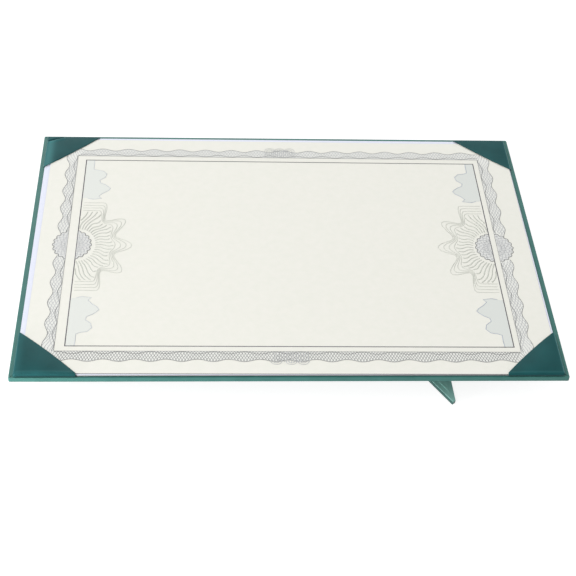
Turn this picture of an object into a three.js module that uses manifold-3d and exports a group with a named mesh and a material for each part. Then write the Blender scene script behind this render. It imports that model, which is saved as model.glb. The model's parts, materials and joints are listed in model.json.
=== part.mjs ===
// A certificate holder: a stiff board wrapped in leatherette paper, with a white inner card, four
// cloth corner pockets that hold a landscape certificate, and an easel strut hinged on the back.
// Millimetres, +Z up. It lies face up as in use on a table: on its far edge and on the foot of the
// strut, which is a little open. The origin is on the table, under the middle of its box.
import * as THREE from 'three';
import { mergeVertices } from 'three/addons/utils/BufferGeometryUtils.js';
import Module from 'manifold-3d';

// The wrapped board. x runs along the near edge, y from the near edge to the far one.
const coverWidth = 308;
const coverDepth = 218;
const boardThickness = 2;
const wrapThickness = 0.4;
const wrapEdgeRadius = 0.5;
const wrapCornerRadius = 0.9;
const turnInWidth = 15;
const mitreGap = 0.3;
const mitreStart = 1.6;

// The gaps between the layers, where the glue or the air is.
const glueGap = 0.15;
const seatGap = 0.15;

// The inner card, set in from the edges of the board by a narrow border.
const borderLeft = 3.3;
const borderRight = 3.6;
const borderFront = 1.1;
const borderBack = 4;
const cardThickness = 0.8;
const cardCornerRadius = 0.6;

// The corner pockets, triangles of cloth folded round the corners of the card.
const pocketLeg = 33;
const pocketBow = 1.8;
const clothThickness = 0.3;
const clothFoldRadius = 0.8;
const clothCornerRadius = 1.3;
const pocketFit = 0.5;
const pocketSlack = 0.35;

// The certificate, an A4 sheet that has slid to one side of the card and lies a little askew. The
// gaps are those at the middle of its edges.
const certificateWidth = 297;
const certificateDepth = 210;
const paperThickness = 0.25;
const certificateLeftGap = 3.3;
const certificateFrontGap = 0.35;
const certificateTurn = -0.26;

// The printed ornament, as thin fields of colour that lie just over the paper.
const inkThickness = 0.1;
const inkGap = 0.1;
const frameMarginLeft = 22.2;
const frameMarginRight = 22.9;
const frameMarginFront = 20.6;
const frameMarginBack = 21;
const frameLine = 0.7;
const bandMarginLeft = 16.9;
const bandMarginRight = 19.8;
const bandMarginFront = 16.5;
const bandMarginBack = 15.1;
const bandWidth = 7.6;
const bandWave = 0.9;
const bandWaveLength = 17;
const pointsPerWave = 10;
const sideRosetteRadius = 13.5;
const endRosetteRadius = 11;
const rosetteScallops = 18;
const rosetteScallopDepth = 0.7;
const fanReach = 36;
const fanHeight = 43;
const fanLobes = 7;
const fanLobeDepth = 0.12;
const fanSteps = 90;

// The strut: a wrapped leg that swings on a crease in its covering, and the wrapped block above the
// crease, glued to the back of the board. Its own frame has y along the leg and x along the crease.
const strutHinge = { x: 13.8, y: 29.3 };
const strutTurn = 38.4;
const strutWidth = 38;
const strutLength = 153.6;
const strutTipWidth = 2;
const strutBaseLength = 34;
const strutBaseCornerRadius = 3;
const strutBoardThickness = 2;
const strutWrapThickness = 0.3;
const strutEdgeRadius = 0.3;
const strutGlueGap = 0.1;
const strutTurnInWidth = 7;
const liningThickness = 0.2;
const liningInset = 3;
const strutGap = 0.3;
const creaseWidth = 3;
const creaseGap = 0.3;
const restOpening = 9.2;

// A little more than any wall, so that a cutter comes out on both sides.
const cutThrough = 1;

const wasm = await Module();
wasm.setup();

const degrees = Math.PI / 180;

function solidOf(geometry) {
  const bare = geometry.clone();
  bare.deleteAttribute('normal');
  bare.deleteAttribute('uv');
  const merged = mergeVertices(bare, 1e-5);
  return new wasm.Manifold(new wasm.Mesh({
    numProp: 3,
    vertProperties: new Float32Array(merged.attributes.position.array),
    triVerts: new Uint32Array(merged.index.array),
  }));
}

function geometryOf(solid) {
  const mesh = solid.getMesh();
  const geometry = new THREE.BufferGeometry();
  geometry.setAttribute('position', new THREE.BufferAttribute(mesh.vertProperties, 3));
  geometry.setIndex(new THREE.BufferAttribute(mesh.triVerts, 1));
  const faceted = geometry.toNonIndexed();
  faceted.computeVertexNormals();
  return faceted;
}

// A flat plate of an outline from one height to another, with its upper and lower edges rounded.
function plate(outline, bottom, top, edgeRadius = 0) {
  const rounded = edgeRadius > 0;
  const geometry = new THREE.ExtrudeGeometry(outline, {
    depth: top - bottom - 2 * edgeRadius,
    bevelEnabled: rounded,
    bevelSize: edgeRadius,
    bevelThickness: edgeRadius,
    bevelOffset: -edgeRadius,
    bevelSegments: 3,
    curveSegments: 6,
  });
  return geometry.translate(0, 0, bottom + edgeRadius);
}

function rectangle(left, front, right, back, radius = 0) {
  const shape = new THREE.Shape();
  shape.moveTo(left + radius, front);
  shape.lineTo(right - radius, front);
  if (radius > 0) shape.absarc(right - radius, front + radius, radius, -Math.PI / 2, 0);
  shape.lineTo(right, back - radius);
  if (radius > 0) shape.absarc(right - radius, back - radius, radius, 0, Math.PI / 2);
  shape.lineTo(left + radius, back);
  if (radius > 0) shape.absarc(left + radius, back - radius, radius, Math.PI / 2, Math.PI);
  shape.lineTo(left, front + radius);
  if (radius > 0) shape.absarc(left + radius, front + radius, radius, Math.PI, 1.5 * Math.PI);
  return shape;
}

// A convex outline moved inwards by one distance for each edge, edge 0 being from point 0 to point 1.
function insetOutline(points, distances) {
  const edges = points.map((point, index) => {
    const next = points[(index + 1) % points.length];
    const along = new THREE.Vector2().subVectors(next, point).normalize();
    const inward = new THREE.Vector2(-along.y, along.x);
    return { start: point.clone().addScaledVector(inward, distances[index]), along };
  });
  return edges.map((edge, index) => {
    const before = edges[(index + edges.length - 1) % edges.length];
    const apart = new THREE.Vector2().subVectors(edge.start, before.start);
    const reach = apart.cross(edge.along) / before.along.cross(edge.along);
    return before.start.clone().addScaledVector(before.along, reach);
  });
}

// The heights of the layers over the back of the board.
const boardBottom = wrapThickness + glueGap;
const coverTop = boardBottom + boardThickness + glueGap + wrapThickness;
const pocketBottom = coverTop + seatGap;
const cardBottom = pocketBottom + clothThickness + seatGap;
const cardTop = cardBottom + cardThickness;
const paperBottom = cardTop + seatGap;
const paperTop = paperBottom + paperThickness;
const inkBottom = paperTop + inkGap;
const pocketTop = paperTop + pocketSlack + clothThickness;

// The outlines of the layers, about the middle of the board.
const cover = { left: -coverWidth / 2, right: coverWidth / 2, front: -coverDepth / 2, back: coverDepth / 2 };
const card = {
  left: cover.left + borderLeft,
  right: cover.right - borderRight,
  front: cover.front + borderFront,
  back: cover.back - borderBack,
};

// The sheet and what is printed on it have a frame of their own, about the sheet's middle.
const paperMiddle = {
  x: card.left + certificateLeftGap + certificateWidth / 2,
  y: card.front + certificateFrontGap + certificateDepth / 2,
};
const paper = {
  left: -certificateWidth / 2,
  right: certificateWidth / 2,
  front: -certificateDepth / 2,
  back: certificateDepth / 2,
};
const printFrame = {
  left: paper.left + frameMarginLeft,
  right: paper.right - frameMarginRight,
  front: paper.front + frameMarginFront,
  back: paper.back - frameMarginBack,
};
const printBand = {
  left: paper.left + bandMarginLeft,
  right: paper.right - bandMarginRight,
  front: paper.front + bandMarginFront,
  back: paper.back - bandMarginBack,
};

const leatherette = new THREE.MeshStandardMaterial({ color: 0x5a908a, roughness: 0.62, metalness: 0 });
const greyboard = new THREE.MeshStandardMaterial({ color: 0x948c80, roughness: 0.95, metalness: 0 });
const whiteCard = new THREE.MeshStandardMaterial({ color: 0xe6ebf8, roughness: 0.7, metalness: 0 });
const pocketCloth = new THREE.MeshStandardMaterial({ color: 0x2f6163, roughness: 0.75, metalness: 0 });
const creamPaper = new THREE.MeshStandardMaterial({ color: 0xf0f0e8, roughness: 0.8, metalness: 0 });
const greyInk = new THREE.MeshStandardMaterial({ color: 0xc4c4c6, roughness: 0.8, metalness: 0 });
const darkInk = new THREE.MeshStandardMaterial({ color: 0x77757f, roughness: 0.8, metalness: 0 });
const paleInk = new THREE.MeshStandardMaterial({ color: 0xe4e6e0, roughness: 0.8, metalness: 0 });

function addPiece(group, name, geometry, material) {
  const mesh = new THREE.Mesh(geometry, material);
  mesh.name = name;
  group.add(mesh);
  return mesh;
}

// The wrapping paper: one sheet glued over the back and the edges of the board, and turned in over
// its face, where the turned-in edges meet in a mitre at each corner.
function coverWrap() {
  const outside = plate(
    rectangle(cover.left, cover.front, cover.right, cover.back, wrapCornerRadius), 0, coverTop, wrapEdgeRadius);
  const inside = plate(
    rectangle(cover.left + wrapThickness, cover.front + wrapThickness,
      cover.right - wrapThickness, cover.back - wrapThickness),
    wrapThickness, coverTop - wrapThickness);
  const window = plate(
    rectangle(cover.left + turnInWidth, cover.front + turnInWidth,
      cover.right - turnInWidth, cover.back - turnInWidth),
    coverTop - wrapThickness - glueGap, coverTop + cutThrough);
  let wrap = solidOf(outside).subtract(solidOf(inside)).subtract(solidOf(window));
  const mitreEnd = (turnInWidth + cutThrough) * Math.SQRT2;
  for (const [x, y, turn] of [
    [cover.left, cover.front, 45],
    [cover.right, cover.front, 135],
    [cover.right, cover.back, 225],
    [cover.left, cover.back, 315],
  ]) {
    const slit = plate(
      rectangle(mitreStart, -mitreGap / 2, mitreEnd, mitreGap / 2),
      coverTop - wrapThickness - glueGap / 2, coverTop + cutThrough);
    slit.rotateZ(turn * degrees).translate(x, y, 0);
    wrap = wrap.subtract(solidOf(slit));
  }
  return geometryOf(wrap);
}

// A pocket at the near left corner of the card, whose corner is its origin: cloth over the face,
// round two edges and under the back, cut off in a bowed mouth. It is alike about its diagonal, so
// a quarter turn makes each of the others.
function cornerPocket() {
  const outer = -(pocketFit + clothThickness);
  const reach = pocketLeg + cutThrough;
  const outside = plate(
    rectangle(outer, outer, reach, reach, clothCornerRadius), pocketBottom, pocketTop, clothFoldRadius);
  const inside = plate(
    rectangle(-pocketFit, -pocketFit, reach + cutThrough, reach + cutThrough, clothCornerRadius - clothThickness),
    pocketBottom + clothThickness, pocketTop - clothThickness, clothFoldRadius - clothThickness);
  const corner = outer - cutThrough;
  const bulge = pocketLeg / 2 + pocketBow * Math.SQRT2;
  const mouth = new THREE.Shape();
  mouth.moveTo(corner, corner);
  mouth.lineTo(pocketLeg, corner);
  mouth.lineTo(pocketLeg, 0);
  mouth.quadraticCurveTo(bulge, bulge, 0, pocketLeg);
  mouth.lineTo(corner, pocketLeg);
  const cut = plate(mouth, pocketBottom - cutThrough, pocketTop + cutThrough);
  return geometryOf(solidOf(outside).subtract(solidOf(inside)).intersect(solidOf(cut)));
}

// The wavy outer edge of the printed band, as offsets from its straight inner edge.
function bandOutline() {
  const points = [];
  const width = printBand.right - printBand.left;
  const depth = printBand.back - printBand.front;
  const sides = [
    { start: [printBand.left, printBand.front], along: [1, 0], out: [0, -1], length: width },
    { start: [printBand.right, printBand.front], along: [0, 1], out: [1, 0], length: depth },
    { start: [printBand.right, printBand.back], along: [-1, 0], out: [0, 1], length: width },
    { start: [printBand.left, printBand.back], along: [0, -1], out: [-1, 0], length: depth },
  ];
  for (const side of sides) {
    const waves = Math.round(side.length / bandWaveLength);
    const steps = waves * pointsPerWave;
    for (let step = 1; step < steps; step += 1) {
      const far = (side.length * step) / steps;
      const offset = bandWidth - bandWave * Math.cos((2 * Math.PI * step) / pointsPerWave);
      points.push(new THREE.Vector2(
        side.start[0] + side.along[0] * far + side.out[0] * offset,
        side.start[1] + side.along[1] * far + side.out[1] * offset));
    }
    points.push(new THREE.Vector2(
      side.start[0] + side.along[0] * side.length + (side.along[0] + side.out[0]) * bandWidth,
      side.start[1] + side.along[1] * side.length + (side.along[1] + side.out[1]) * bandWidth));
  }
  return new THREE.Shape(points);
}

function rosette(radius) {
  const points = [];
  const steps = rosetteScallops * 6;
  for (let step = 0; step < steps; step += 1) {
    const angle = (2 * Math.PI * step) / steps;
    const edge = radius + rosetteScallopDepth * Math.cos(rosetteScallops * angle);
    points.push(new THREE.Vector2(edge * Math.cos(angle), edge * Math.sin(angle)));
  }
  return new THREE.Shape(points);
}

// The band of the ornament: a ring with a straight inner edge and a wavy outer one, and a scalloped
// rosette in the middle of each side. It stays outside its straight line and the one inside that.
function printedBorder() {
  const { left, right, front, back } = printBand;
  const middle = { x: (left + right) / 2, y: (front + back) / 2 };
  const inkTop = inkBottom + inkThickness;
  let ring = solidOf(plate(bandOutline(), inkBottom, inkTop));
  for (const [radius, x, y] of [
    [sideRosetteRadius, left, middle.y],
    [sideRosetteRadius, right, middle.y],
    [endRosetteRadius, middle.x, front],
    [endRosetteRadius, middle.x, back],
  ]) {
    ring = ring.add(solidOf(plate(rosette(radius), inkBottom, inkTop).translate(x, y, 0)));
  }
  const opening = plate(rectangle(left, front, right, back), inkBottom - cutThrough, inkTop + cutThrough);
  return geometryOf(ring.subtract(solidOf(opening)));
}

function printedFrame() {
  const { left, right, front, back } = printFrame;
  const frame = rectangle(left, front, right, back);
  frame.holes.push(new THREE.Path(rectangle(
    left + frameLine, front + frameLine, right - frameLine, back - frameLine).getPoints()));
  return plate(frame, inkBottom, inkBottom + inkThickness);
}

// A pale lobed fan that spreads from the middle of one side of the frame over the sheet.
function printedFan() {
  const fan = new THREE.Shape();
  fan.moveTo(frameLine + inkGap, -fanHeight);
  for (let step = 1; step < fanSteps; step += 1) {
    const angle = Math.PI * (step / fanSteps - 0.5);
    const lobe = 1 - fanLobeDepth + fanLobeDepth * Math.cos(2 * fanLobes * angle);
    fan.lineTo(frameLine + inkGap + fanReach * lobe * Math.cos(angle), fanHeight * lobe * Math.sin(angle));
  }
  fan.lineTo(frameLine + inkGap, fanHeight);
  return plate(fan, inkBottom, inkBottom + inkThickness);
}

const object = new THREE.Group();
const panel = new THREE.Group();
object.add(panel);

addPiece(panel, 'cover_wrap', coverWrap(), leatherette);

const boardInset = wrapThickness + glueGap;
addPiece(panel, 'cover_board', plate(
  rectangle(cover.left + boardInset, cover.front + boardInset, cover.right - boardInset, cover.back - boardInset),
  boardBottom, boardBottom + boardThickness), greyboard);

addPiece(panel, 'inner_card', plate(
  rectangle(card.left, card.front, card.right, card.back, cardCornerRadius), cardBottom, cardTop), whiteCard);

const sheet = new THREE.Group();
sheet.position.set(paperMiddle.x, paperMiddle.y, 0);
sheet.rotation.z = certificateTurn * degrees;
panel.add(sheet);

addPiece(sheet, 'certificate', plate(
  rectangle(paper.left, paper.front, paper.right, paper.back), paperBottom, paperTop), creamPaper);

const pocketPlaces = [
  ['pocket_front_left', card.left, card.front, 0],
  ['pocket_front_right', card.right, card.front, 90],
  ['pocket_back_right', card.right, card.back, 180],
  ['pocket_back_left', card.left, card.back, 270],
];
for (const [name, x, y, turn] of pocketPlaces) {
  const pocket = addPiece(panel, name, cornerPocket(), pocketCloth);
  pocket.position.set(x, y, 0);
  pocket.rotation.z = turn * degrees;
}

addPiece(sheet, 'printed_border', printedBorder(), greyInk);
addPiece(sheet, 'printed_frame', printedFrame(), darkInk);

const fanPlaces = [['printed_fan_left', printFrame.left, 0], ['printed_fan_right', printFrame.right, 180]];
for (const [name, x, turn] of fanPlaces) {
  const fan = addPiece(sheet, name, printedFan(), paleInk);
  fan.position.set(x, (printFrame.front + printFrame.back) / 2, 0);
  fan.rotation.z = turn * degrees;
}

// The strut's frame lies on the crease, in the outer surface of the covering, which is the line the
// leg swings on. Its z points to the board.
const strutThickness = 2 * (strutWrapThickness + strutGlueGap) + strutBoardThickness + strutGlueGap + liningThickness;
const strutFrame = new THREE.Group();
strutFrame.position.set(strutHinge.x, strutHinge.y, -strutGap - strutThickness);
strutFrame.rotation.z = strutTurn * degrees;
panel.add(strutFrame);

const leg = new THREE.Group();
leg.name = 'leg';
leg.rotation.x = restOpening * degrees;
strutFrame.add(leg);

// At rest the far edge of the board and the tip of the leg are on the table, which sets the tilt.
const tipCorner = new THREE.Vector3(-strutWidth / 2 + strutTipWidth, -strutLength, 0);
tipCorner.applyEuler(leg.rotation).applyEuler(strutFrame.rotation).add(strutFrame.position);
const restTilt = Math.atan2(-tipCorner.z, cover.back - tipCorner.y);
panel.rotation.x = -restTilt;

// The foot is cut so that it lies on the table along its whole length in that place. The direction
// with no rise is found from how fast the two directions of the leg rise.
object.updateMatrixWorld(true);
const acrossRise = new THREE.Vector3(1, 0, 0).transformDirection(leg.matrixWorld).z;
const alongRise = new THREE.Vector3(0, 1, 0).transformDirection(leg.matrixWorld).z;
const footSlope = -acrossRise / alongRise;

const half = strutWidth / 2;

// The leg before its tip is cut blunt: down its long side, up the foot, up its short side and back
// along the crease.
const footRise = strutWidth * footSlope;
const sharpTip = -strutLength - strutTipWidth * footSlope;
const sharpLeg = [
  new THREE.Vector2(-half, -creaseGap / 2),
  new THREE.Vector2(-half, sharpTip),
  new THREE.Vector2(half, sharpTip + footRise),
  new THREE.Vector2(half, -creaseGap / 2),
];

// The outline of the leg, moved inwards by one distance all round but for the edge at the crease.
function legOutline(inset = 0, atCrease = 0) {
  const [creaseLeft, tip, knee, creaseRight] = insetOutline(sharpLeg, [inset, inset, inset, atCrease]);
  const tipLine = -strutLength + inset;
  if (tip.y >= tipLine) return new THREE.Shape([creaseLeft, tip, knee, creaseRight]);
  const tipLeft = new THREE.Vector2(tip.x, tipLine);
  const tipRight = new THREE.Vector2(tip.x + (tipLine - tip.y) / footSlope, tipLine);
  return new THREE.Shape([creaseLeft, tipLeft, tipRight, knee, creaseRight]);
}

const wrappedTop = strutWrapThickness + strutGlueGap + strutBoardThickness + strutGlueGap + strutWrapThickness;
const boardFromCrease = creaseWidth / 2 - creaseGap / 2;

// The covering of the leg: over its outer face, round its edges and turned in over its inner face.
// At the crease only the outer layer runs on.
function legWrap() {
  const outside = plate(legOutline(), 0, wrappedTop, strutEdgeRadius);
  const inside = plate(
    legOutline(strutWrapThickness, -cutThrough), strutWrapThickness, wrappedTop - strutWrapThickness);
  const window = plate(
    legOutline(strutTurnInWidth, -cutThrough), wrappedTop - strutWrapThickness - strutGlueGap, wrappedTop + cutThrough);
  const valley = plate(
    rectangle(-strutWidth, -creaseWidth / 2, strutWidth, 0), strutWrapThickness, wrappedTop + cutThrough);
  return geometryOf(solidOf(outside).subtract(solidOf(inside)).subtract(solidOf(window)).subtract(solidOf(valley)));
}

addPiece(leg, 'strut_wrap', legWrap(), leatherette);

const strutBoardInset = strutWrapThickness + strutGlueGap;
const strutBoardBottom = strutWrapThickness + strutGlueGap;
addPiece(leg, 'strut_board', plate(
  legOutline(strutBoardInset, boardFromCrease), strutBoardBottom, strutBoardBottom + strutBoardThickness), greyboard);

const liningBottom = wrappedTop + strutGlueGap;
addPiece(leg, 'strut_lining', plate(
  legOutline(liningInset, boardFromCrease + liningInset), liningBottom, liningBottom + liningThickness), leatherette);

// The block above the crease: a board as thick as the leg needs, in the same covering, with its two
// far corners rounded.
const baseBoardThickness = strutThickness - 2 * (strutWrapThickness + strutGlueGap);

function baseOutline(inset, atCrease) {
  const side = half - inset;
  const end = strutBaseLength - inset;
  const radius = Math.max(strutBaseCornerRadius - inset, strutWrapThickness);
  const shape = new THREE.Shape();
  shape.moveTo(-side, atCrease);
  shape.lineTo(side, atCrease);
  shape.absarc(side - radius, end - radius, radius, 0, Math.PI / 2);
  shape.absarc(-side + radius, end - radius, radius, Math.PI / 2, Math.PI);
  return shape;
}

function baseWrap() {
  const outside = plate(baseOutline(0, creaseGap / 2), 0, strutThickness, strutEdgeRadius);
  const inside = plate(
    baseOutline(strutWrapThickness, -cutThrough), strutWrapThickness, strutThickness - strutWrapThickness);
  const window = plate(
    baseOutline(strutTurnInWidth, -cutThrough),
    strutThickness - strutWrapThickness - strutGlueGap, strutThickness + cutThrough);
  const valley = plate(
    rectangle(-strutWidth, 0, strutWidth, creaseWidth / 2), strutWrapThickness, strutThickness + cutThrough);
  return geometryOf(solidOf(outside).subtract(solidOf(inside)).subtract(solidOf(window)).subtract(solidOf(valley)));
}

addPiece(strutFrame, 'strut_base_wrap', baseWrap(), leatherette);

addPiece(strutFrame, 'strut_base_board', plate(
  baseOutline(strutBoardInset, creaseWidth / 2),
  strutBoardBottom, strutBoardBottom + baseBoardThickness), greyboard);

// The table is at z 0, and the origin is under the middle of the box.
const box = new THREE.Box3().setFromObject(panel, true);
panel.position.set(-(box.min.x + box.max.x) / 2, -(box.min.y + box.max.y) / 2, -box.min.z);

export default object;
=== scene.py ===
"""A certificate holder: a board wrapped in leatherette paper, with a card, four cloth corner
pockets and a printed certificate on its face, and a strut on its back. Metres, +Z up."""
import json
import math

import bmesh
import bpy
from mathutils import Matrix, Vector


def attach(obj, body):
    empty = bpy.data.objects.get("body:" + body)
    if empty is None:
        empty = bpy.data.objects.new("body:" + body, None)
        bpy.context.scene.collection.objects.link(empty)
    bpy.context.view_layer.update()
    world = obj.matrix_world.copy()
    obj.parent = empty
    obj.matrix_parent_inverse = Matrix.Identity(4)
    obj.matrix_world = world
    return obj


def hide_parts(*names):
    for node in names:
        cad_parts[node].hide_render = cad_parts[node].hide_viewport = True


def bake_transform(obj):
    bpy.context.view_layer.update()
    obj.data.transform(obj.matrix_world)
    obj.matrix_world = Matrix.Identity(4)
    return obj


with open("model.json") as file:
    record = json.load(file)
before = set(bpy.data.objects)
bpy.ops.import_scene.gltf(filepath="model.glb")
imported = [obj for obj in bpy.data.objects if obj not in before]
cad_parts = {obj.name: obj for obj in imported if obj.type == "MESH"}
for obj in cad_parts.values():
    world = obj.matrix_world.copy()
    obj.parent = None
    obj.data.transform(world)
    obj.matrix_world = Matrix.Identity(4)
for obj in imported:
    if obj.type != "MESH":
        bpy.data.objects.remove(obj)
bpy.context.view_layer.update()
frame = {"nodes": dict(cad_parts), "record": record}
MM = 0.001
METRE_MM = 1000


# The camera stands before the near edge, a little to the left of the middle, and looks down on the
# open face. Its place, its direction and its lens come from the straight edges in the photograph.
CAMERA_PLACE = Vector((-46.2, -528.9, 623.4)) * MM
LOOK_DOWN = math.radians(50.547)
LOOK_RIGHT = math.radians(5.428)
CAMERA_ROLL = math.radians(4.33)
LENS_MM = 83.0
SENSOR_MM = 36


def new_object(name, data):
    """An object in the scene, at the origin."""
    made = bpy.data.objects.new(name, data)
    bpy.context.scene.collection.objects.link(made)
    return made


camera = new_object("camera", bpy.data.cameras.new("camera"))
camera.data.lens = LENS_MM
camera.data.sensor_width = SENSOR_MM
camera.matrix_world = (
    Matrix.Translation(CAMERA_PLACE)
    @ Matrix.Rotation(-LOOK_RIGHT, 4, "Z")
    @ Matrix.Rotation(math.pi / 2 - LOOK_DOWN, 4, "X")
    @ Matrix.Rotation(CAMERA_ROLL, 4, "Z")
)
bpy.context.scene.camera = camera


# The board: solid grey board, 2 mm thick, cut square. The same board stiffens the strut. Only its
# fibres and its grey-brown colour would show, where the covering leaves it bare.
BOARD_FLECK_MM = 0.8
BOARD_FIBRE_MM = 0.5
BOARD_FUZZ_MM = 0.05

# Nearly all the values of a noise lie between these two.
NOISE_RANGE = {"From Min": 0.3, "From Max": 0.7}


def linear(hex_colour):
    """A colour written as sRGB hex, in the linear values that a socket takes."""
    channels = [int(hex_colour[at : at + 2], 16) / 255 for at in (0, 2, 4)]
    return [c / 12.92 if c <= 0.04045 else ((c + 0.055) / 1.055) ** 2.4 for c in channels] + [1]


def connect(made, inputs):
    """Sets the inputs of a node, by name or number, to a value or a link."""
    for name, value in inputs.items():
        if isinstance(value, bpy.types.NodeSocket):
            made.id_data.links.new(value, made.inputs[name])
        else:
            made.inputs[name].default_value = value


def node(tree, kind, inputs, **settings):
    """Adds a node. Colours are mixed by a share at input 0, from the colour at 6 to that at 7."""
    made = tree.nodes.new(kind)
    for name, value in settings.items():
        setattr(made, name, value)
    connect(made, inputs)
    return made


def new_material(name):
    """An empty material, its shader and the coordinates of the object in metres."""
    material = bpy.data.materials.new(name)
    material.use_nodes = True
    tree = material.node_tree
    shader = tree.nodes["Principled BSDF"]
    place = node(tree, "ShaderNodeTexCoord", {}).outputs["Object"]
    return material, tree, shader, place


def mottle(tree, place, size_mm, dark, light, detail=3):
    """A colour that wanders between two near tones over patches of one size."""
    noise = node(tree, "ShaderNodeTexNoise",
                 {"Vector": place, "Scale": METRE_MM / size_mm, "Detail": detail})
    share = node(tree, "ShaderNodeMapRange", {"Value": noise.outputs["Fac"], **NOISE_RANGE})
    colour = node(tree, "ShaderNodeMix",
                  {0: share.outputs[0], 6: linear(dark), 7: linear(light)}, data_type="RGBA")
    return colour.outputs[2]


def greyboard():
    material, tree, shader, place = new_material("grey_board")
    fibres = node(tree, "ShaderNodeTexNoise",
                  {"Vector": place, "Scale": METRE_MM / BOARD_FIBRE_MM, "Detail": 5})
    fuzz = node(tree, "ShaderNodeBump",
                {"Height": fibres.outputs["Fac"], "Strength": 0.4, "Distance": BOARD_FUZZ_MM * MM})
    connect(shader, {
        "Base Color": mottle(tree, place, BOARD_FLECK_MM, "857d70", "a39b8e", detail=6),
        "Roughness": 0.95,
        "Normal": fuzz.outputs["Normal"],
    })
    return material


def dress(material, *names):
    """Gives solids of the source their material."""
    for name in names:
        piece = frame["nodes"][name]
        piece.data.materials.clear()
        piece.data.materials.append(material)


dress(greyboard(), "cover_board", "strut_board", "strut_base_board")


# The wrapping: leatherette paper, a printed paper with a fine leather grain pressed into it. It is
# glued round the board and turned in over its face. To the eye it is matt, with a soft gloss on the
# high places of the grain. The real grain is finer, and is drawn coarser here so that it shows.
GRAIN_MM = 0.7
GRAIN_DEPTH_MM = 0.06
WRAP_TONE_MM = 9


def leatherette(name, change=None):
    """Change, if there is one, makes another colour from the leatherette's own."""
    material, tree, shader, place = new_material(name)
    grain = node(tree, "ShaderNodeTexVoronoi",
                 {"Vector": place, "Scale": METRE_MM / GRAIN_MM, "Smoothness": 0.6},
                 feature="SMOOTH_F1")
    pressed = node(tree, "ShaderNodeBump", {
        "Height": grain.outputs["Distance"], "Strength": 0.5, "Distance": GRAIN_DEPTH_MM * MM,
    })
    colour = mottle(tree, place, WRAP_TONE_MM, "3c716b", "427972")
    connect(shader, {
        "Base Color": change(tree, place, colour) if change else colour,
        "Roughness": 0.45,
        "IOR": 1.4,
        "Normal": pressed.outputs["Normal"],
    })
    return material


dress(leatherette("leatherette_paper"), "cover_wrap")


# The strut: the same board in the same leatherette. Its covering runs in one piece from the wrapped
# block that is glued to the holder over a crease to the leg, and bends there. Its narrow sides are
# painted darker as shade, and its inner side, which lies in the board's shade, is painted paler as
# light. A plain lining, painted as pale, is pasted over that.
CREASE_MM = 1.4
CREASE_BENDS = 8
CREASE_GAP_MM = 0.4
SQUARE_ON = 0.9
WELD_MM = 0.001
STRUT_TONE_MM = 6
# Pale tones painted on as light, where the inner side lies in the board's shade.
INNER_LIGHT_TONES = ("a2d8cf", "a9ded5")

hinge = frame["record"]["behaviour"]["joints"][0]
crease = Vector(hinge["pos_m"])
across_crease = Vector((0, 0, 1)).cross(Vector(hinge["axis"]).normalized()).normalized()
half_crease = across_crease * CREASE_MM * MM


def all_of(shape):
    return shape.verts[:] + shape.edges[:] + shape.faces[:]


def new_piece(name, shape, material):
    """A bmesh made an object with one material."""
    mesh = bpy.data.meshes.new(name)
    shape.to_mesh(mesh)
    shape.free()
    mesh.materials.append(material)
    return new_object(name, mesh)


def upward(tree):
    """How far a face points up, from -1 to 1."""
    normal = node(tree, "ShaderNodeTexCoord", {}).outputs["Normal"]
    return node(tree, "ShaderNodeSeparateXYZ", {0: normal}).outputs["Z"]


def strut_light_and_shade(tree, place, colour):
    """The colour itself on the outer face, a darker one painted on the narrow sides as shade, and a pale
    one painted inside as light.
    """
    up = upward(tree)
    outer = node(tree, "ShaderNodeMapRange", {"Value": up, "From Min": -0.3, "From Max": -0.8})
    inner = node(tree, "ShaderNodeMapRange", {"Value": up, "From Min": 0.3, "From Max": 0.8})
    # Painted shade on the narrow sides, and painted light on the inner side.
    painted_side_shade = mottle(tree, place, STRUT_TONE_MM, "2c5852", "315f59")
    painted_inner_light = mottle(tree, place, STRUT_TONE_MM, *INNER_LIGHT_TONES)
    outside = node(tree, "ShaderNodeMix", {0: outer.outputs[0], 6: painted_side_shade, 7: colour},
                   data_type="RGBA")
    whole = node(tree, "ShaderNodeMix", {0: inner.outputs[0], 6: outside.outputs[2], 7: painted_inner_light},
                 data_type="RGBA")
    return whole.outputs[2]


def lining_paper():
    material, tree, shader, place = new_material("plain_lining_paper")
    # The lining's pale colour is painted light, like the inner side of the covering.
    connect(shader, {"Base Color": mottle(tree, place, STRUT_TONE_MM, *INNER_LIGHT_TONES), "Roughness": 0.7})
    return material


# The two halves of the covering lose the faces that meet at the crease, and are joined there.
covering = bmesh.new()
for part in ("strut_wrap", "strut_base_wrap"):
    covering.from_mesh(frame["nodes"][part].data)
bmesh.ops.remove_doubles(covering, verts=covering.verts, dist=WELD_MM * MM)
ends = [
    face for face in covering.faces
    if all(abs((vertex.co - crease).dot(across_crease)) < CREASE_GAP_MM * MM for vertex in face.verts)
    and abs(face.normal.dot(across_crease)) > SQUARE_ON
]
rims = [edge for edge in covering.edges if sum(face in ends for face in edge.link_faces) == 1]
bmesh.ops.delete(covering, geom=ends, context="FACES_KEEP_BOUNDARY")
bmesh.ops.bridge_loops(covering, edges=rims)
for bend in range(1, CREASE_BENDS):
    bmesh.ops.bisect_plane(
        covering, geom=all_of(covering), dist=WELD_MM * MM,
        plane_co=crease + half_crease * (2 * bend / CREASE_BENDS - 1), plane_no=across_crease,
    )
bmesh.ops.triangulate(covering, faces=[face for face in covering.faces if len(face.verts) > 4])
strut_covering = new_piece("strut_covering", covering,
                           leatherette("strut_leatherette_with_painted_light", strut_light_and_shade))
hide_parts("strut_wrap", "strut_base_wrap")
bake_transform(strut_covering)
dress(lining_paper(), "strut_lining")


# The inner card: smooth white board with optical whitener, which gives it a cool lilac tint. The
# pockets are folded round its four corners, and then it is glued on the wrapped board.
CARD_FLECK_MM = 1.5
EDGE_TURN = 0.5


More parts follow.
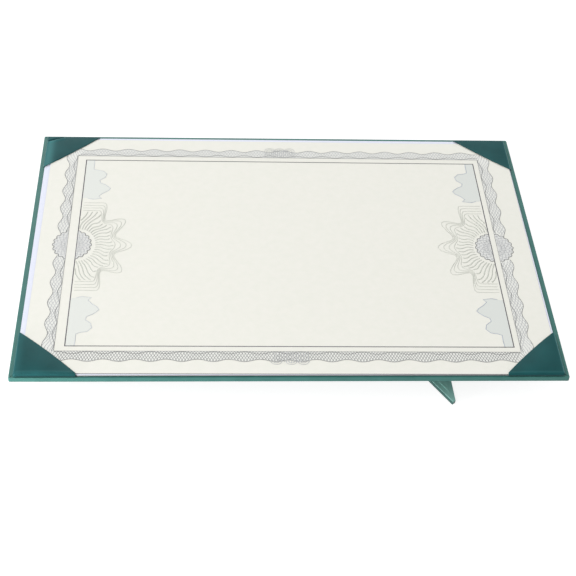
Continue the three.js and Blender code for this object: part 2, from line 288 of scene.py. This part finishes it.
def shade_painted_on_edges(tree, face, edge):
    """The colour of a sheet: one on its upper face and a darker one painted on its cut edges as shade."""
    cut = node(tree, "ShaderNodeMath", {0: upward(tree), 1: EDGE_TURN}, operation="LESS_THAN")
    colour = node(tree, "ShaderNodeMix", {0: cut.outputs[0], 6: face, 7: linear(edge)},
                  data_type="RGBA")
    return colour.outputs[2]


def white_card():
    material, tree, shader, place = new_material("white_card")
    white = mottle(tree, place, CARD_FLECK_MM, "e6eafa", "ebeefc")
    # The card's cut edges are painted grey as shade.
    connect(shader, {"Base Color": shade_painted_on_edges(tree, white, "9c9da0"), "Roughness": 0.6})
    return material


dress(white_card(), "inner_card")


# The certificate: a cream sheet of uncoated paper, with faint fibres. It has slid to the left and
# lies a little askew in the pockets.
PAPER_TONE_MM = 4
PAPER_FIBRE_MM = 0.6
PAPER_FUZZ_MM = 0.02


def cream_paper():
    material, tree, shader, place = new_material("cream_paper")
    cream = mottle(tree, place, PAPER_TONE_MM, "efefe6", "f2f1e9")
    fibres = node(tree, "ShaderNodeTexNoise",
                  {"Vector": place, "Scale": METRE_MM / PAPER_FIBRE_MM, "Detail": 4})
    fuzz = node(tree, "ShaderNodeBump",
                {"Height": fibres.outputs["Fac"], "Strength": 0.2, "Distance": PAPER_FUZZ_MM * MM})
    # The sheet's cut edges are painted dark as shade.
    connect(shader, {
        "Base Color": shade_painted_on_edges(tree, cream, "45433e"),
        "Roughness": 0.85,
        "Normal": fuzz.outputs["Normal"],
    })
    return material


dress(cream_paper(), "certificate")


# The print: fine line work in greys and pale tints, laid on the paper as strokes and fields a few
# hundredths of a millimetre thick. Each kind of ink lies a little above the kinds that it crosses.
# Lifts and widths are in mm.
INK_MM = 0.03
TINT_LIFT = 0.01
ROSETTE_TINT_LIFT = 0.04
LINE_LIFT = 0.05
EDGE_LIFT = 0.09
ORNAMENT_LIFT = 0.13
THIN_INK_MM = 0.6
THIN_INK_SHOWS = 0.1
BARE_PAPER = "f0f0e7"
SAME_POINT_MM = 1e-6


def points_in(place, name):
    """The vertices of a solid, seen in another frame."""
    return [place.inverted() @ vertex.co for vertex in frame["nodes"][name].data.vertices]


def box_in(place, name):
    """The lowest and the highest corner of a solid's box, seen in another frame."""
    axes = list(zip(*points_in(place, name)))
    return Vector([min(axis) for axis in axes]), Vector([max(axis) for axis in axes])


# The frame of the open face has x along the near edge, y up the slope and z out of the face, with
# its origin under the middle of the board. The frame of the sheet has its origin in the middle of
# the sheet's upper side, and is turned with the sheet.
out_of_back = Vector(frame["record"]["mounts"][0]["axis"])
panel = Matrix.Rotation(math.atan2(out_of_back.y, -out_of_back.z), 4, "X")
low, high = box_in(panel, "cover_wrap")
panel = panel @ Matrix.Translation(((low.x + high.x) / 2, (low.y + high.y) / 2, low.z))

low, high = box_in(panel, "certificate")
corners = points_in(panel, "certificate")
near_left = min(corners, key=lambda corner: corner.x + corner.y)
near_right = max(corners, key=lambda corner: corner.x - corner.y)
askew = math.atan2(near_right.y - near_left.y, near_right.x - near_left.x)
sheet = (
    panel
    @ Matrix.Translation(((low.x + high.x) / 2, (low.y + high.y) / 2, high.z))
    @ Matrix.Rotation(askew, 4, "Z")
)


def ink(name, colour):
    """Matt printing ink. Where it lies thin, a little of the paper shows through."""
    material, tree, shader, place = new_material(name)
    cover = node(tree, "ShaderNodeTexNoise",
                 {"Vector": place, "Scale": METRE_MM / THIN_INK_MM, "Detail": 3})
    thin = node(tree, "ShaderNodeMapRange",
                {"Value": cover.outputs["Fac"], **NOISE_RANGE, "To Max": THIN_INK_SHOWS})
    mixed = node(tree, "ShaderNodeMix",
                 {0: thin.outputs[0], 6: linear(colour), 7: linear(BARE_PAPER)}, data_type="RGBA")
    connect(shader, {"Base Color": mixed.outputs[2], "Roughness": 0.8})
    return material


def printed(curve, lift, material, stands_for):
    """A drawn curve made a mesh, pressed flat and laid on the sheet."""
    curve.materials.append(material)
    drawing = new_object(curve.name, curve)
    ready = drawing.evaluated_get(bpy.context.evaluated_depsgraph_get())
    mesh = bpy.data.meshes.new_from_object(ready)
    bpy.data.objects.remove(drawing)
    heights = [vertex.co.z for vertex in mesh.vertices]
    mesh.transform(Matrix.Diagonal((1, 1, INK_MM / (max(heights) - min(heights)), 1)))
    mesh.transform(sheet @ Matrix.Scale(MM, 4) @ Matrix.Translation((0, 0, lift + INK_MM / 2)))
    piece = new_object(curve.name, mesh)
    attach(piece, "holder")
    if stands_for:
        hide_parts(*stands_for)


def new_curve(name, dimensions, lines):
    """Lines of places in mm from the middle of the sheet. One that ends where it starts is closed."""
    curve = bpy.data.curves.new(name, "CURVE")
    curve.dimensions = dimensions
    for points in lines:
        closed = math.dist(points[0], points[-1]) < SAME_POINT_MM
        points = points[:-1] if closed else points
        spline = curve.splines.new("POLY")
        spline.points.add(len(points) - 1)
        spline.points.foreach_set("co", [value for u, v in points for value in (u, v, 0, 1)])
        spline.use_cyclic_u = closed
    return curve


def strokes(name, lines, width, material, stands_for=(), lift=LINE_LIFT):
    """Lines of one width."""
    curve = new_curve(name, "3D", lines)
    curve.bevel_depth = width / 2
    curve.bevel_resolution = 0
    curve.use_fill_caps = True
    printed(curve, lift, material, stands_for)


def tint(name, outlines, material, stands_for=(), lift=TINT_LIFT):
    """Closed outlines, filled. One that lies within another is left out of it."""
    curve = new_curve(name, "2D", outlines)
    curve.fill_mode = "BOTH"
    curve.extrude = 0.5
    printed(curve, lift, material, stands_for)


def kept(points, keep):
    """The runs of a line whose points are all to be kept."""
    runs, run = [], []
    for point in points:
        if keep(*point):
            run.append(point)
        else:
            runs.append(run)
            run = []
    return [run for run in runs + [run] if len(run) > 1]


def ring(left, front, right, back):
    return [(left, front), (right, front), (right, back), (left, back), (left, front)]


# The two straight lines round the text field, by their places on the left, near, right and far
# side. The inner one is heavy and dark, and the outer one is printed with the band.
INNER = (-125.93, -84.3, 125.2, 83.3)
OUTER = (-131.6, -88.2, 128.65, 87.7)
FRAME_LINE_MM = 0.78

strokes("frame_line", [ring(*INNER)], FRAME_LINE_MM, ink("dark_grey_ink", "4f4d59"),
        ["printed_frame"])


# The wavy band outside the outer line: a pale tint, a lattice of slanting strokes from that line to
# the waves, and a second, shallow wave within. The lattice is drawn coarser than the real one, so
# that it shows, and its strokes and the waves stop at the rosettes.
class Side:
    """One side of the band. Depth is the mean depth of its waves, rise how far they swing, wave
    their length and crest the place of one. Where mirror is given, they are mirrored about it.
    Lean, spacing and faint are those of its lattice."""

    def __init__(self, **measures):
        vars(self).update(measures)

    def place(self, far, off):
        return tuple(self.start[axis] + self.along[axis] * far + self.out[axis] * off for axis in (0, 1))

    def phase(self, far):
        position = sum(self.place(far, 0)[axis] * abs(self.along[axis]) for axis in (0, 1))
        if self.mirror is not None:
            position = abs(position - self.mirror)
        return math.cos(2 * math.pi * (position - self.crest) / self.wave)

    def edge(self, far):
        return self.depth + self.rise * self.phase(far)


left, front, right, back = OUTER
sides = [
    Side(start=(left, front), along=(1, 0), out=(0, -1), length=right - left,
         depth=7.0, rise=0.9, wave=17.25, crest=24.2, mirror=-2.5, lean=0.58, spacing=1.7, faint=False),
    Side(start=(right, front), along=(0, 1), out=(1, 0), length=back - front,
         depth=6.6, rise=1.0, wave=16.9, crest=1.2, mirror=None, lean=2.4, spacing=4.0, faint=True),
    Side(start=(right, back), along=(-1, 0), out=(0, 1), length=right - left,
         depth=6.55, rise=1.05, wave=16.7, crest=17.1, mirror=1.0, lean=0.58, spacing=1.9, faint=True),
    Side(start=(left, back), along=(0, -1), out=(-1, 0), length=back - front,
         depth=5.85, rise=1.15, wave=16.9, crest=1.2, mirror=None, lean=2.4, spacing=4.0, faint=True),
]
INNER_WAVE_DEPTH = 1.15
INNER_WAVE_RISE = 0.85
LATTICE_STEPS = 6
BAND_EDGE_MM = 0.3
LATTICE_MM = 0.26
FAINT_LATTICE_MM = 0.3

# Of each rosette: the place of its middle, and half its width and height.
ROSETTES = [(-128.7, 0.5, 11.6, 13.2), (126.9, 0.5, 11.6, 13.2)]


def outside_rosettes(u, v):
    return all(((u - x) / wide) ** 2 + ((v - y) / tall) ** 2 > 1 for x, y, wide, tall in ROSETTES)


outline = []
edges = []
lattice = {True: [], False: []}
for side in sides:
    steps = round(side.length)
    marks = [side.length * step / steps for step in range(steps + 1)]
    edge = [side.place(far, side.edge(far)) for far in marks]
    inner = [side.place(far, INNER_WAVE_DEPTH - INNER_WAVE_RISE * side.phase(far)) for far in marks]
    outline += edge
    edges += kept(edge, outside_rosettes) + kept(inner, outside_rosettes)
    count = round(side.length / side.spacing)
    for number in range(count):
        foot = side.length * (number + 0.5) / count
        for way in (-1, 1):
            line = []
            for step in range(LATTICE_STEPS + 1):
                far = foot + way * side.lean * side.depth * step / LATTICE_STEPS
                line.append(side.place(far, side.edge(far) * step / LATTICE_STEPS))
            lattice[side.faint] += kept(line, outside_rosettes)
outline.append(outline[0])
edges.append(ring(*OUTER))

grey_ink = ink("grey_ink", "8b8c8d")
faint_ink = ink("faint_grey_ink", "c8cacc")
tint("band_tint", [outline, ring(*OUTER)], ink("pale_tint", "edeee9"), ["printed_border"])
strokes("band_edges", edges, BAND_EDGE_MM, grey_ink, lift=EDGE_LIFT)
strokes("band_hatching", lattice[False], LATTICE_MM, grey_ink)
strokes("band_faint_hatching", lattice[True], FAINT_LATTICE_MM, faint_ink)


# The rosettes in the middle of the left and the right side: scalloped rings, one in the other, and
# spirals both ways, on a grey tint. The strip between the two straight lines stays clear of them.
SCALLOPS = 20
SCALLOP_DEPTH = 0.1
RING_STEPS = 240
INNER_RINGS = (0.8, 0.6, 0.4)
SPIRAL_START = 0.25
SPIRAL_LENGTH = 0.68
SPIRAL_STEPS = 12
SPIRAL_TURN = 1.1
ROSETTE_RING_MM = 0.45
ROSETTE_WEAVE_MM = 0.26


def rosette_point(rosette, angle, size):
    x, y, wide, tall = rosette
    return x + wide * size * math.cos(angle), y + tall * size * math.sin(angle)


def scalloped(rosette, size):
    points = []
    for step in range(RING_STEPS + 1):
        angle = 2 * math.pi * step / RING_STEPS
        scallop = abs(math.cos(SCALLOPS / 2 * angle))
        points.append(rosette_point(rosette, angle, size * (1 - SCALLOP_DEPTH + SCALLOP_DEPTH * scallop)))
    return points


def spiral(rosette, start, way):
    points = []
    for step in range(SPIRAL_STEPS + 1):
        size = SPIRAL_START + SPIRAL_LENGTH * step / SPIRAL_STEPS
        points.append(rosette_point(rosette, start + way * SPIRAL_TURN * size, size))
    return points


def outside_strip(u, v):
    inner_left, inner_front, inner_right, inner_back = INNER
    in_outer = left < u < right and front < v < back
    in_inner = inner_left < u < inner_right and inner_front < v < inner_back
    return in_inner or not in_outer


halves = []
rings = []
faint_rings = []
for rosette in ROSETTES:
    runs = kept(scalloped(rosette, 1), outside_strip)
    rings += runs
    # A ring that starts within a half has that half in two runs, its last and its first.
    if len(runs) == 3:
        runs = [runs[2] + runs[0], runs[1]]
    halves += [run + run[:1] for run in runs]
    for size in INNER_RINGS:
        faint_rings += kept(scalloped(rosette, size), outside_strip)
    for number in range(SCALLOPS):
        for way in (-1, 1):
            faint_rings += kept(spiral(rosette, 2 * math.pi * number / SCALLOPS, way), outside_strip)
tint("rosette_tint", halves, ink("grey_tint", "e3e4e2"), lift=ROSETTE_TINT_LIFT)
strokes("rosette_rings", rings, ROSETTE_RING_MM, grey_ink, lift=ORNAMENT_LIFT)
strokes("rosette_faint_rings", faint_rings, ROSETTE_WEAVE_MM, ink("mid_grey_ink", "ced0d2"),
        lift=ORNAMENT_LIFT)


# The ornament in the middle of the near and the far side of the band: three pairs of hanging loops,
# one in the other, over upright strokes that are longest in the middle.
NEAR_LOOPS = (-9.2, -0.8, 5.8)
FAR_LOOPS = (-7.6, -1.2, 5.2)
LOOP_SIZES = ((3.4, 3.6), (2.0, 2.4))
LOOP_START = 6.4
LOOP_STEPS = 16
LOOP_MM = 0.3
UPRIGHTS = 7
UPRIGHT_SPACING = 1.35
UPRIGHT_START = 0.4
UPRIGHT_REACH = 8.6
UPRIGHT_FALL = 0.045
UPRIGHT_MM = 0.34

loops = []
uprights = []
for line, way, feet in ((front, -1, NEAR_LOOPS), (back, 1, FAR_LOOPS)):
    for foot in feet:
        for wide, tall in LOOP_SIZES:
            loop = []
            for step in range(LOOP_STEPS + 1):
                angle = math.pi * step / LOOP_STEPS
                loop.append((foot + wide * math.cos(angle),
                             line + way * (LOOP_START + tall * math.sin(angle))))
            loops.append(loop)
    for number in range(-UPRIGHTS, UPRIGHTS + 1):
        u = feet[1] + UPRIGHT_SPACING * number
        reach = UPRIGHT_REACH - UPRIGHT_FALL * number * number
        uprights.append([(u, line + way * UPRIGHT_START), (u, line + way * reach)])
strokes("loops", loops, LOOP_MM, faint_ink, lift=ORNAMENT_LIFT)
strokes("uprights", uprights, UPRIGHT_MM, faint_ink, lift=ORNAMENT_LIFT)


# The fans, on the left and on the right of the text field: four lobed outlines, one in the other,
# and wavy rays between them and the rosette, in the palest ink. Reaches and gaps are shares of the
# fan's size.
FAN_WIDE = 31.5
FAN_TALL = 43.0
FAN_LOBE = math.radians(32)
FAN_SHOULDER = math.radians(66)
FAN_MIDDLE = 0.3
FAN_SET_IN = 0.5
FAN_NESTS = 4
FAN_DEGREES = range(-88, 89, 2)
FAN_LINE_MM = 0.4
VALLEY_REACH = 0.73
LOBE_RISE = 0.295
LOBE_SHARPNESS = 1.2
NEST_GAP = 0.03
NEST_LOBE_GAP = 0.075
NEST_CLOSING = 0.45
RAYS = 12
RAY_ANGLE = math.radians(7.1)
RAY_SPREAD = 1.14
RAY_CLOSING = 0.2
RAY_WAVE = math.radians(2.0)
RAY_START = 0.34
RAY_GAP = 0.03
RAY_STEPS = 18
RAY_CLEAR_MM = 0.6
RAY_MM = 0.68


def fan_reach(angle, nest):
    """How far a fan's outline reaches. Beyond its last lobe it runs level to the frame."""
    if abs(angle) > FAN_SHOULDER:
        return fan_reach(FAN_SHOULDER, nest) * math.sin(FAN_SHOULDER) / abs(math.sin(angle))
    lobe = (0.5 + 0.5 * math.cos(2 * math.pi * angle / FAN_LOBE)) ** LOBE_SHARPNESS
    gap = (NEST_GAP + NEST_LOBE_GAP * lobe) * (1 - NEST_CLOSING * math.sin(angle) ** 2)
    return VALLEY_REACH + LOBE_RISE * lobe - (FAN_NESTS - 1 - nest) * gap


def fan_point(base, way, angle, reach):
    return base + way * FAN_WIDE * reach * math.cos(angle), FAN_MIDDLE + FAN_TALL * reach * math.sin(angle)


def clear_of_frame(u, v):
    return INNER[0] + RAY_CLEAR_MM < u < INNER[2] - RAY_CLEAR_MM


outlines = []
rays = []
for base, way in ((INNER[0] + FAN_SET_IN, 1), (INNER[2] - FAN_SET_IN, -1)):
    for nest in range(FAN_NESTS):
        angles = [math.radians(degree) for degree in FAN_DEGREES]
        outlines.append([fan_point(base, way, angle, fan_reach(angle, nest)) for angle in angles])
    for number in range(-RAYS, RAYS + 1):
        line = []
        for step in range(RAY_STEPS + 1):
            part = step / RAY_STEPS
            angle = RAY_ANGLE * number * (RAY_SPREAD - RAY_CLOSING * part)
            angle += RAY_WAVE * math.sin(2 * math.pi * part)
            reach = RAY_START + (fan_reach(angle, 0) - RAY_START - RAY_GAP) * part
            line.append(fan_point(base, way, angle, reach))
        rays += kept(line, clear_of_frame)
fan_ink = ink("pale_grey_ink", "d9dcd2")
strokes("fan_outlines", outlines, FAN_LINE_MM, fan_ink,
        ["printed_fan_left", "printed_fan_right"])
strokes("fan_rays", rays, RAY_MM, fan_ink)


# The lace above and below the fans: a pale blue tint with an edge line, a narrow stem at the corner
# of the text field, then a small and a large half flower. It printed more strongly on the right.
# Its outline goes by the distance from the inner line and by the height over the sheet's middle.
LACE = [
    (0.4, 83.0), (5.2, 83.0), (5.4, 79.0), (5.3, 74.0), (7.5, 72.8), (11.5, 72.0), (13.9, 69.0),
    (13.0, 65.5), (9.8, 62.5), (10.4, 60.0), (13.2, 58.4), (15.8, 56.0), (17.0, 54.3), (15.8, 52.2),
    (12.6, 49.6), (10.2, 46.6), (12.0, 44.4), (6.5, 43.6), (3.5, 44.6), (0.4, 45.0),
]
LACE_MIDDLE = -0.5
LACE_EDGE_MM = 0.45

for hand, base, way, tint_colour, line_colour in (
    ("left", INNER[0], 1, "e6e9e4", "d6dbdf"),
    ("right", INNER[2], -1, "dfe3df", "bcc4d0"),
):
    upper = [(base + way * off, v) for off, v in LACE]
    lower = [(u, 2 * LACE_MIDDLE - v) for u, v in upper]
    tint(f"lace_tint_{hand}", [upper + upper[:1], lower + lower[:1]],
         ink(f"pale_blue_tint_{hand}", tint_colour))
    strokes(f"lace_edges_{hand}", [upper[1:-1], lower[1:-1]], LACE_EDGE_MM,
            ink(f"pale_blue_ink_{hand}", line_colour))


# The corner pockets: fine woven cloth with a faint sheen, cut as a triangle, stretched over the
# corner of the card with the sheet under it, folded round the two edges and glued down behind the
# card. The real weave is finer, and is drawn coarser here so that it shows.
MOUTH_MM = 32.8
MOUTH_BOW = 1.0
UNDER_MM = 6.0
CLOTH_MM = 0.3
CROWN_MM = 1.3
CROWN_RUN = 4.5
CROWN_LOSS = 0.95
GRID_CUTS = 96
CUT_SNAP_MM = 0.02
CORNER_SHARE = 0.03
THREAD_MM = 0.8
THREAD_DEPTH_MM = 0.08
CLOTH_TONE_MM = 12

# Of each pocket: the ways from the card's corner along its two edges, the pocket's legs along them,
# and its creases. A crease runs from one place to another, by their distances along the two edges
# from the pocket's corner, and then has its half width, how far it lifts the cloth and how much
# paler it is painted as highlight, or how much darker it is painted as shade where that is below 0.
POCKETS = {
    "front_left": ((1, 1), (32.8, 31.1), [
        (1, 0.8, 31, 0.8, 0.8, 0.1, 0.08),
        (0.6, 1, 0.6, 31, 2.2, 0, 0.06),
        (1, -1.9, 33, -1.9, 0.55, 0, -1),
    ]),
    "front_right": ((-1, 1), (30.7, 31.3), [
        (-0.7, 0.2, -0.7, 33, 0.5, 0.1, 0.45),
        (0.5, 0.2, 31, 0.2, 0.5, 0.1, 0.08),
        (1, -1.9, 33, -1.9, 0.5, 0, -1),
    ]),
    "back_right": ((-1, -1), (32.8, 29.8), [
        (-0.7, 0.2, -0.7, 33, 0.5, 0.1, 0.4),
    ]),
    "back_left": ((1, -1), (32.8, 30.3), [
        (1.6, 5, 1.2, 30, 3.0, 0, 0.32),
        (0.8, 4.0, 3.4, 3.0, 0.8, -0.9, -1.0),
        (3.4, 3.0, 9, 0.8, 0.5, -0.7, -0.8),
        (1.5, 5.6, 10, 2.2, 1.0, 0.4, 0.1),
    ]),
}


def pocket_cloth():
    material, tree, shader, place = new_material("woven_book_cloth")
    flat_cloth = node(tree, "ShaderNodeUVMap", {}, uv_map="cloth").outputs[0]
    # Above 0 the cloth is painted paler as highlight along its folds; below 0 it is painted darker as
    # shade under the folds and in the pleats.
    painted_highlight_and_shade = node(tree, "ShaderNodeAttribute", {}, attribute_name="painted_highlight_and_shade").outputs["Fac"]
    shaded = node(tree, "ShaderNodeMath", {0: painted_highlight_and_shade, 1: -1.0}, operation="MULTIPLY", use_clamp=True)
    teal = mottle(tree, place, CLOTH_TONE_MM, "0f494b", "145254")
    teal = node(tree, "ShaderNodeMix", {0: shaded.outputs[0], 6: teal, 7: linear("12393c")},
                data_type="RGBA").outputs[2]
    teal = node(tree, "ShaderNodeMix", {0: painted_highlight_and_shade, 6: teal, 7: linear("62adaf")},
                data_type="RGBA").outputs[2]
    # The cloth's own map is in mm, and a wave of scale 1 is pi / 10 long.
    threads = [
        node(tree, "ShaderNodeTexWave",
             {"Vector": flat_cloth, "Scale": math.pi / 10 / THREAD_MM, "Distortion": 0.6},
             bands_direction=direction).outputs["Fac"]
        for direction in ("X", "Y")
    ]
    weave = node(tree, "ShaderNodeMath", {0: threads[0], 1: threads[1]}, operation="MULTIPLY")
    woven = node(tree, "ShaderNodeBump",
                 {"Height": weave.outputs[0], "Strength": 0.35, "Distance": THREAD_DEPTH_MM * MM})
    connect(shader, {
        "Base Color": teal,
        "Roughness": 0.5,
        "Specular IOR Level": 0.18,
        "Sheen Weight": 0.05,
        "Sheen Roughness": 0.4,
        "Normal": woven.outputs["Normal"],
    })
    return material


def cut_cloth(legs, half_turn):
    """The flat cloth in mm: a triangle over the card, and a flap beyond each leg, round at the corner."""
    shape = bmesh.new()
    size = (MOUTH_MM + half_turn + UNDER_MM) / 2
    bmesh.ops.create_grid(shape, x_segments=GRID_CUTS, y_segments=GRID_CUTS, size=size)
    bmesh.ops.translate(shape, verts=shape.verts, vec=(MOUTH_MM - size, MOUTH_MM - size, 0))
    for place, direction in (
        ((MOUTH_MM, 0, 0), (1, 1, 0)),
        ((MOUTH_MM, MOUTH_MM, 0), (1, 0, 0)),
        ((MOUTH_MM, MOUTH_MM, 0), (0, 1, 0)),
    ):
        bmesh.ops.bisect_plane(
            shape, geom=all_of(shape), dist=CUT_SNAP_MM,
            plane_co=place, plane_no=direction, clear_outer=True,
        )
    gone = [
        vertex for vertex in shape.verts
        if vertex.co.x < 0 and vertex.co.y < 0 and math.hypot(vertex.co.x, vertex.co.y) > half_turn
    ]
    bmesh.ops.delete(shape, geom=gone, context="VERTS")
    for vertex in shape.verts:
        for axis in (0, 1):
            if vertex.co[axis] > 0:
                vertex.co[axis] *= legs[axis] / MOUTH_MM
    flat_map = shape.loops.layers.uv.new("cloth")
    for face in shape.faces:
        for corner in face.loops:
            corner[flat_map].uv = corner.vert.co.xy
    return shape


def creased(s, t, creases):
    """How far the creases lift the cloth at a place, and how much painted highlight, or painted shade
    where below 0, they put there.
    """
    lift = painted_tone = 0
    for from_s, from_t, to_s, to_t, width, deep, light in creases:
        run = Vector((to_s - from_s, to_t - from_t))
        away = Vector((s - from_s, t - from_t))
        part = min(max(away.dot(run) / run.length_squared, 0), 1)
        near = math.exp(-((away - run * part).length / width) ** 2)
        lift += deep * near
        painted_tone += light * near
    return lift, painted_tone


def crown(s, t, legs, half_turn):
    """How far the cloth stands off the card, and by what share its mouth bows out."""
    share_s, share_t = max(s, 0) / legs[0], max(t, 0) / legs[1]
    reach = share_s + share_t
    slant = 1 - ((share_s - share_t) / reach) ** 2 if reach > CORNER_SHARE else 0
    bow = 1 + MOUTH_BOW / MOUTH_MM * slant * reach ** 2
    rise_s = 1 - math.exp(-max(s + half_turn / 2, 0) / CROWN_RUN)
    rise_t = 1 - math.exp(-max(t + half_turn / 2, 0) / CROWN_RUN)
    return CROWN_MM * rise_s * rise_t * (1 - CROWN_LOSS * reach ** 3), bow


card_low, card_high = box_in(panel, "inner_card")
cloth = pocket_cloth()
for where, (inward, legs, creases) in POCKETS.items():
    # The cloth goes half a turn round the edge, at the radius and the place that the source has.
    node_name = f"pocket_{where}"
    low, high = box_in(panel, node_name)
    corner = [(card_low if way > 0 else card_high)[axis] for axis, way in enumerate(inward)]
    radius = (high.z - low.z) / MM / 2 - CLOTH_MM / 2
    beyond_card = max(card_low.x - low.x, high.x - card_high.x) / MM
    fold = radius + CLOTH_MM / 2 - beyond_card
    top = high.z / MM - CLOTH_MM / 2
    half_turn = math.pi * radius

    shape = cut_cloth(legs, half_turn)
    area = sum(face.calc_area() for face in shape.faces)
    # Each place of the cloth keeps its painted highlight or painted shade for the shader.
    painted_highlight_and_shade = shape.verts.layers.float.new("painted_highlight_and_shade")
    for vertex in shape.verts:
        s, t, _ = vertex.co
        beyond = math.hypot(min(s, 0), min(t, 0))
        lift, bow = crown(s, t, legs, half_turn)
        crease_lift, painted_tone = creased(s, t, creases)
        lift += crease_lift
        x, y, z = fold + max(s, 0) * bow, fold + max(t, 0) * bow, top
        if beyond > 0:
            turned = min(beyond / radius, math.pi)
            along = radius * math.sin(turned) - max(beyond - half_turn, 0)
            x += min(s, 0) / beyond * along
            y += min(t, 0) / beyond * along
            z -= radius * (1 - math.cos(turned))
            lift *= 0.5 + 0.5 * math.cos(turned)
        vertex[painted_highlight_and_shade] = min(max(painted_tone, -1), 1)
        vertex.co = Vector((
            corner[0] + inward[0] * x * MM, corner[1] + inward[1] * y * MM, (z + lift) * MM,
        ))
    bmesh.ops.transform(shape, matrix=panel, verts=shape.verts)

    pocket = new_piece(f"cloth_pocket_{where}", shape, cloth)
    for polygon in pocket.data.polygons:
        polygon.use_smooth = True
    body = pocket.modifiers.new("cloth", "SOLIDIFY")
    body.thickness = CLOTH_MM * MM
    body.offset = 0
    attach(pocket, "holder")
    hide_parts(node_name)


# The table: a plain white floor. It gives back a third of the light, and so keeps the holder's
# shadow. Its glow is only seen and lights nothing, and makes it run into the white background.
FLOOR_SIZE = 6.0
FLOOR_GREY = 0.35
FLOOR_GLOW = 0.85


def white_floor():
    material = bpy.data.materials.new("white_floor")
    material.use_nodes = True
    tree = material.node_tree
    tree.nodes.clear()
    path = node(tree, "ShaderNodeLightPath", {}).outputs
    seen = node(tree, "ShaderNodeMath", {0: path["Is Camera Ray"], 1: path["Is Glossy Ray"]},
                operation="MAXIMUM")
    seen = node(tree, "ShaderNodeMath", {0: seen.outputs[0], 1: path["Is Transmission Ray"]},
                operation="MAXIMUM")
    dull = node(tree, "ShaderNodeBsdfDiffuse", {"Color": (FLOOR_GREY, FLOOR_GREY, FLOOR_GREY, 1)})
    glow = node(tree, "ShaderNodeEmission", {"Strength": FLOOR_GLOW})
    dark = node(tree, "ShaderNodeEmission", {"Strength": 0.0})
    pick = node(tree, "ShaderNodeMixShader",
                {0: seen.outputs[0], 1: dark.outputs[0], 2: glow.outputs[0]})
    both = node(tree, "ShaderNodeAddShader", {0: dull.outputs[0], 1: pick.outputs[0]})
    node(tree, "ShaderNodeOutputMaterial", {"Surface": both.outputs[0]})
    return material


shape = bmesh.new()
bmesh.ops.create_grid(shape, x_segments=1, y_segments=1, size=FLOOR_SIZE)
new_piece("floor", shape, white_floor())


# The surroundings: an even white all round, which the camera sees at full strength and which
# lights the holder at about half of that.
SEEN_STRENGTH = 1.0
LIT_STRENGTH = 0.53

world = bpy.data.worlds.new("studio")
bpy.context.scene.world = world
world.use_nodes = True
sky = world.node_tree
sky.nodes.clear()
path = node(sky, "ShaderNodeLightPath", {}).outputs
strength = node(sky, "ShaderNodeMapRange",
                {"Value": path["Is Camera Ray"], "To Min": LIT_STRENGTH, "To Max": SEEN_STRENGTH})
air = node(sky, "ShaderNodeBackground", {"Color": (1, 1, 1, 1), "Strength": strength.outputs[0]})
node(sky, "ShaderNodeOutputWorld", {"Surface": air.outputs[0]})


# The lamps: a broad one high up at the near left, a small low one beside the near left corner and a
# broad one behind. Each is given by its place in metres, its size in metres and its power in watts.
LAMPS = {
    "overhead": ((-0.8, -0.5, 1.35), 1.2, 13.2),
    "near_left": ((-0.4, -0.33, 0.05), 0.1, 1.9),
    "back": ((-0.1, 1.4, 0.8), 0.9, 6),
}

for name, (place, size, power) in LAMPS.items():
    lamp = new_object(name, bpy.data.lights.new(name, "AREA"))
    lamp.data.size = size
    lamp.data.energy = power
    lamp.location = place
    lamp.rotation_euler = (-Vector(place)).to_track_quat("-Z", "Y").to_euler()

bpy.context.scene.view_settings.view_transform = "Standard"
